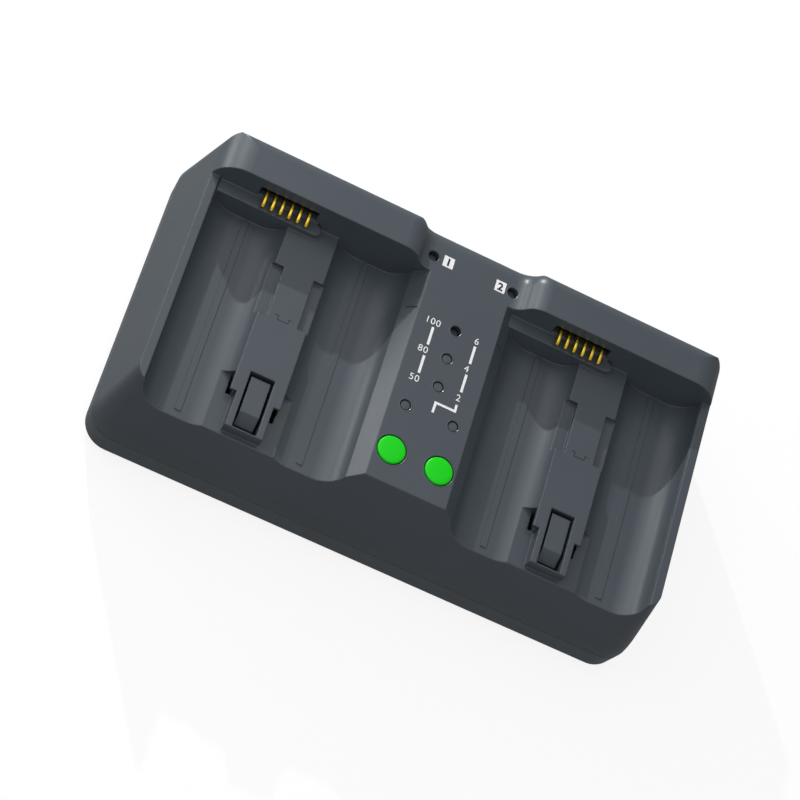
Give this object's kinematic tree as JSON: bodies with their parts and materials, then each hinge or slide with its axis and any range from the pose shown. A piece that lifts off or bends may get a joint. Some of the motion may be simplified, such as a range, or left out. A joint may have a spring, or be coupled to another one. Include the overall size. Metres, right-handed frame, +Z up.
{
  "type": "camera battery charger",
  "caption": "Desktop charger with side by side bays for camera batteries, sprung contacts, catches, a console with push keys and lights, and a mains inlet.",
  "frame": {"origin": "middle of the contact plane of the four rubber feet", "axes": "+X from the left bay to the right bay, +Y from the front edge to the contacts and the mains inlet, +Z up"},
  "size_m": [0.161, 0.0888, 0.0432],
  "materials": {
    "case_plastic": "fine moulded grain",
    "key_plastic": "smooth, slightly clear",
    "lens_plastic": "smoked, polished",
    "diode_resin": "clear resin",
    "contact_brass": "gold flashed",
    "black_plastic": "glass-filled, satin",
    "foot_rubber": "moulded",
    "screw_steel": "zinc plated",
    "spring_steel": "drawn wire",
    "board_laminate": "solder-masked glass epoxy",
    "plated_pins": "nickel plated",
    "ferrite": "sintered",
    "copper_winding": "enamelled wire",
    "capacitor_sleeve": "shrink sleeve on an aluminium can",
    "fuse_glass": "drawn tube",
    "sink_aluminium": "extruded"
  },
  "bodies": {
    "case": {"lower_case": "case_plastic", "upper_case": "case_plastic", "rubber_foot_front_left": "foot_rubber", "rubber_foot_rear_left": "foot_rubber", "rubber_foot_front_right": "foot_rubber", "rubber_foot_rear_right": "foot_rubber", "case_screws": "screw_steel", "main_board": "board_laminate", "console_board": "board_laminate", "riser_board": "board_laminate", "mains_inlet": "black_plastic", "inlet_pins": "plated_pins", "transformer_core": "ferrite", "transformer_winding": "copper_winding", "bulk_capacitor": "capacitor_sleeve", "output_capacitor_front": "capacitor_sleeve", "output_capacitor_rear": "capacitor_sleeve", "mains_choke": "copper_winding", "mains_fuse": "fuse_glass", "heat_sink": "sink_aluminium", "power_transistor": "black_plastic", "bridge_rectifier": "black_plastic", "left_switch": "black_plastic", "left_contact_carrier": "black_plastic", "left_contact_blades": "contact_brass", "left_latch_pin": "screw_steel", "left_latch_spring": "spring_steel", "right_switch": "black_plastic", "right_contact_carrier": "black_plastic", "right_contact_blades": "contact_brass", "right_latch_pin": "screw_steel", "right_latch_spring": "spring_steel", "level_high_lens": "lens_plastic", "level_high_diode": "diode_resin", "level_middle_lens": "lens_plastic", "level_middle_diode": "diode_resin", "level_low_lens": "lens_plastic", "level_low_diode": "diode_resin", "status_left_lens": "lens_plastic", "status_left_diode": "diode_resin", "status_right_lens": "lens_plastic", "status_right_diode": "diode_resin", "bay_left_lens": "lens_plastic", "bay_left_diode": "diode_resin", "bay_right_lens": "lens_plastic", "bay_right_diode": "diode_resin"},
    "left_key": {"left_key": "key_plastic", "left_switch_plunger": "black_plastic"},
    "right_key": {"right_key": "key_plastic", "right_switch_plunger": "black_plastic"},
    "left_latch": {"left_latch_lever": "case_plastic"},
    "right_latch": {"right_latch_lever": "case_plastic"}
  },
  "joints": [
    {"name": "left_key_press", "type": "slide", "parent": "case", "child": "left_key", "axis": [0, 0, 1], "range_m": [-0.0007, 0], "stiffness_N_per_m": 800, "springref_m": 0.0005},
    {"name": "right_key_press", "type": "slide", "parent": "case", "child": "right_key", "axis": [0, 0, 1], "range_m": [-0.0007, 0], "stiffness_N_per_m": 800, "springref_m": 0.0005},
    {"name": "left_latch_tilt", "type": "hinge", "parent": "case", "child": "left_latch", "pos_m": [-0.0445, -0.0234, 0.0307], "axis": [1, 0, 0], "range_deg": [0, 8], "stiffness_Nm_per_rad": 0.02, "springref_deg": -8.59},
    {"name": "right_latch_tilt", "type": "hinge", "parent": "case", "child": "right_latch", "pos_m": [0.0445, -0.0234, 0.0307], "axis": [1, 0, 0], "range_deg": [0, 8], "stiffness_Nm_per_rad": 0.02, "springref_deg": -8.59}
  ]
}
